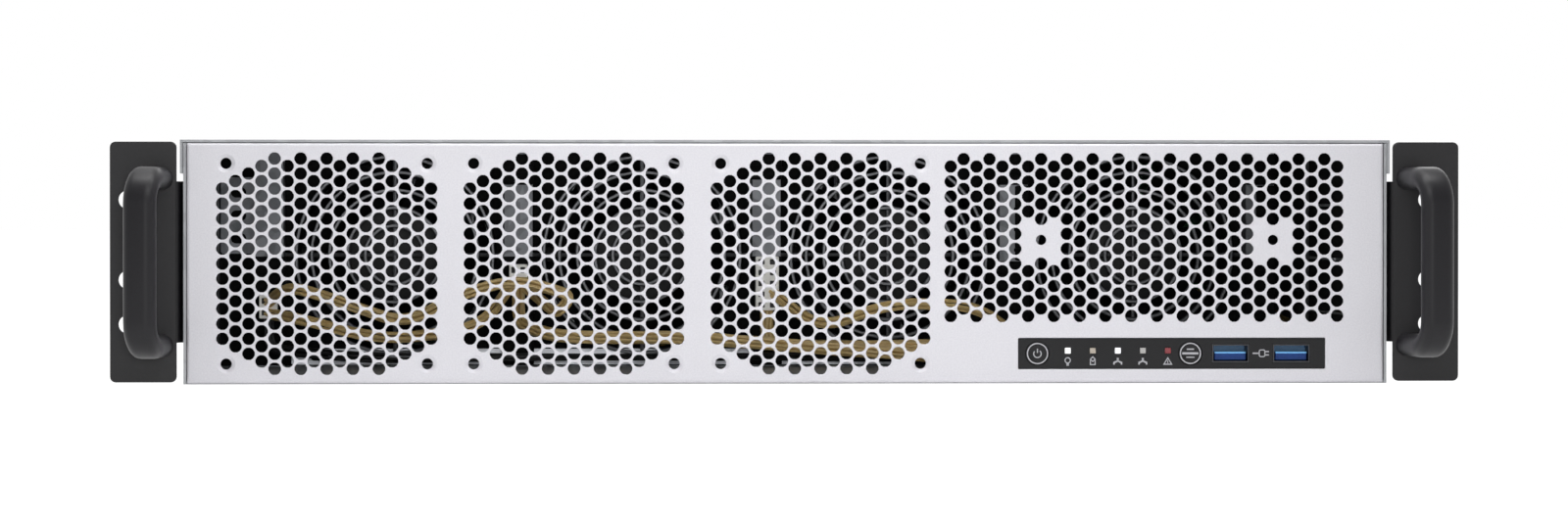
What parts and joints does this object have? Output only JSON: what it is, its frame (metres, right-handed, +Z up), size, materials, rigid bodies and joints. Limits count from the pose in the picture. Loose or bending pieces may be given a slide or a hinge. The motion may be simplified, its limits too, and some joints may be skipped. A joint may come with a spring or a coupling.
{
  "type": "rack server",
  "caption": "Two-unit rack server with a honeycomb-perforated silver front, black rack ears with bow handles, a control strip, internal fans and slide-out power modules.",
  "frame": {"origin": "under the middle of the server's overall box, on the surface that it stands on", "axes": "+Z up, +X to the right seen from the front, the front with its handles faces -Y"},
  "size_m": [0.4826, 0.6132, 0.0872],
  "materials": {
    "silver_sheet": "fine silver powder coat",
    "galvanised_sheet": "galvanised steel sheet",
    "black_painted_steel": "satin black paint",
    "black_handle": "satin black coated aluminium",
    "screw_steel": "zinc-plated steel",
    "brass": "turned brass",
    "black_plastic": "moulded, satin",
    "latch_plastic": "moulded, satin",
    "clear_lens": "polished light pipe",
    "plated_shell": "nickel-plated steel",
    "blue_plastic": "moulded",
    "white_plastic": "moulded nylon",
    "circuit_board": "solder-masked laminate",
    "cooler_aluminium": "extruded aluminium",
    "module_case": "plated case, stands for its filled inside",
    "yellow_wire": "wire insulation",
    "black_wire": "wire insulation"
  },
  "bodies": {
    "chassis": {"black_leads": "black_wire", "board_power_sockets": "black_plastic", "board_standoffs": "brass", "chassis_tray": "galvanised_sheet", "chipset_cooler": "cooler_aluminium", "control_bezel": "black_plastic", "control_board": "circuit_board", "cpu_cooler_left": "cooler_aluminium", "cpu_cooler_right": "cooler_aluminium", "cpu_sockets": "black_plastic", "expansion_slots": "black_plastic", "fan_frame_1": "black_plastic", "fan_frame_2": "black_plastic", "fan_frame_3": "black_plastic", "fan_frame_4": "black_plastic", "fan_posts": "galvanised_sheet", "fan_wall": "galvanised_sheet", "finger_guards": "screw_steel", "front_panel": "silver_sheet", "handle_left": "black_handle", "handle_right": "black_handle", "io_shield": "galvanised_sheet", "lead_connectors": "white_plastic", "memory_modules": "circuit_board", "memory_slots": "black_plastic", "motherboard": "circuit_board", "network_jacks": "plated_shell", "psu_backplane": "circuit_board", "psu_cage": "galvanised_sheet", "push_switches": "black_plastic", "rack_ear_left": "black_painted_steel", "rack_ear_right": "black_painted_steel", "rear_panel": "galvanised_sheet", "rear_ports": "plated_shell", "slot_covers": "galvanised_sheet", "status_lenses": "clear_lens", "usb_shells": "plated_shell", "usb_tongues": "blue_plastic", "yellow_leads": "yellow_wire"},
    "cover": {"top_cover": "galvanised_sheet", "cover_thumbscrews": "screw_steel"},
    "power_button": {"power_button": "black_plastic"},
    "reset_button": {"reset_button": "black_plastic"},
    "fan_1": {"fan_rotor_1": "black_plastic"},
    "fan_2": {"fan_rotor_2": "black_plastic"},
    "fan_3": {"fan_rotor_3": "black_plastic"},
    "fan_4": {"fan_rotor_4": "black_plastic"},
    "psu_lower": {"psu_lower_case": "module_case", "psu_lower_inlet": "black_plastic", "psu_lower_handle": "black_plastic"},
    "psu_lower_latch": {"psu_lower_latch": "latch_plastic"},
    "psu_lower_fan": {"psu_lower_rotor": "black_plastic"},
    "psu_upper": {"psu_upper_case": "module_case", "psu_upper_inlet": "black_plastic", "psu_upper_handle": "black_plastic"},
    "psu_upper_latch": {"psu_upper_latch": "latch_plastic"},
    "psu_upper_fan": {"psu_upper_rotor": "black_plastic"}
  },
  "joints": [
    {"name": "cover_slide", "type": "slide", "parent": "chassis", "child": "cover", "axis": [0, 1, 0], "range_m": [0, 0.02]},
    {"name": "power_button_press", "type": "slide", "parent": "chassis", "child": "power_button", "axis": [0, 1, 0], "range_m": [0, 0.0008], "stiffness_N_per_m": 900},
    {"name": "reset_button_press", "type": "slide", "parent": "chassis", "child": "reset_button", "axis": [0, 1, 0], "range_m": [0, 0.0008], "stiffness_N_per_m": 900},
    {"name": "fan_1_spin", "type": "hinge", "parent": "chassis", "child": "fan_1", "pos_m": [-0.1455, -0.04442, 0.0445], "axis": [0, 1, 0], "continuous": true},
    {"name": "fan_2_spin", "type": "hinge", "parent": "chassis", "child": "fan_2", "pos_m": [-0.0485, -0.04442, 0.0445], "axis": [0, 1, 0], "continuous": true},
    {"name": "fan_3_spin", "type": "hinge", "parent": "chassis", "child": "fan_3", "pos_m": [0.0485, -0.04442, 0.0445], "axis": [0, 1, 0], "continuous": true},
    {"name": "fan_4_spin", "type": "hinge", "parent": "chassis", "child": "fan_4", "pos_m": [0.1455, -0.04442, 0.0445], "axis": [0, 1, 0], "continuous": true},
    {"name": "psu_lower_slide", "type": "slide", "parent": "chassis", "child": "psu_lower", "axis": [0, 1, 0], "range_m": [0, 0.19]},
    {"name": "psu_lower_latch_press", "type": "hinge", "parent": "psu_lower", "child": "psu_lower_latch", "pos_m": [0.2102, 0.27558, 0.0191], "axis": [0, 0, 1], "range_deg": [0, 7], "stiffness_Nm_per_rad": 0.3},
    {"name": "psu_lower_fan_spin", "type": "hinge", "parent": "psu_lower", "child": "psu_lower_fan", "pos_m": [0.1606, 0.27258, 0.0221], "axis": [0, 1, 0], "continuous": true},
    {"name": "psu_upper_slide", "type": "slide", "parent": "chassis", "child": "psu_upper", "axis": [0, 1, 0], "range_m": [0, 0.19]},
    {"name": "psu_upper_latch_press", "type": "hinge", "parent": "psu_upper", "child": "psu_upper_latch", "pos_m": [0.2102, 0.27558, 0.0605], "axis": [0, 0, 1], "range_deg": [0, 7], "stiffness_Nm_per_rad": 0.3},
    {"name": "psu_upper_fan_spin", "type": "hinge", "parent": "psu_upper", "child": "psu_upper_fan", "pos_m": [0.1606, 0.27258, 0.0635], "axis": [0, 1, 0], "continuous": true}
  ]
}
